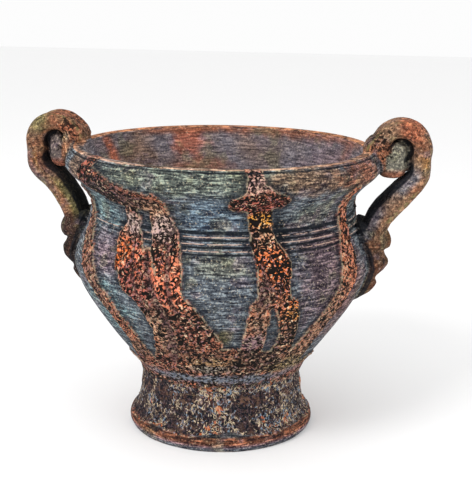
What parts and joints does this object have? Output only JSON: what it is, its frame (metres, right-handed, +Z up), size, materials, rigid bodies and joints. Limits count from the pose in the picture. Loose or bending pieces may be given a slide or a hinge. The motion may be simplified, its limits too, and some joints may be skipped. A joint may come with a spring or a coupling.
{
  "type": "krater",
  "caption": "Thick terracotta krater with a flared foot, a heavy rim collar and swan-neck handles that rise over the rim; open, hollow bowl.",
  "frame": {"origin": "centre of the bounding box at its bottom, on the underside of the foot", "axes": "+Z up, through the middle of the mouth; +X through the larger handle; the crusted side that is seen first faces -Y"},
  "size_m": [0.4177, 0.325, 0.332],
  "materials": {
    "terracotta": "matt fired clay, dark slate slip rubbed pale, with rough rust and ochre crusts"
  },
  "bodies": {
    "root": {"krater": "terracotta"}
  },
  "joints": []
}
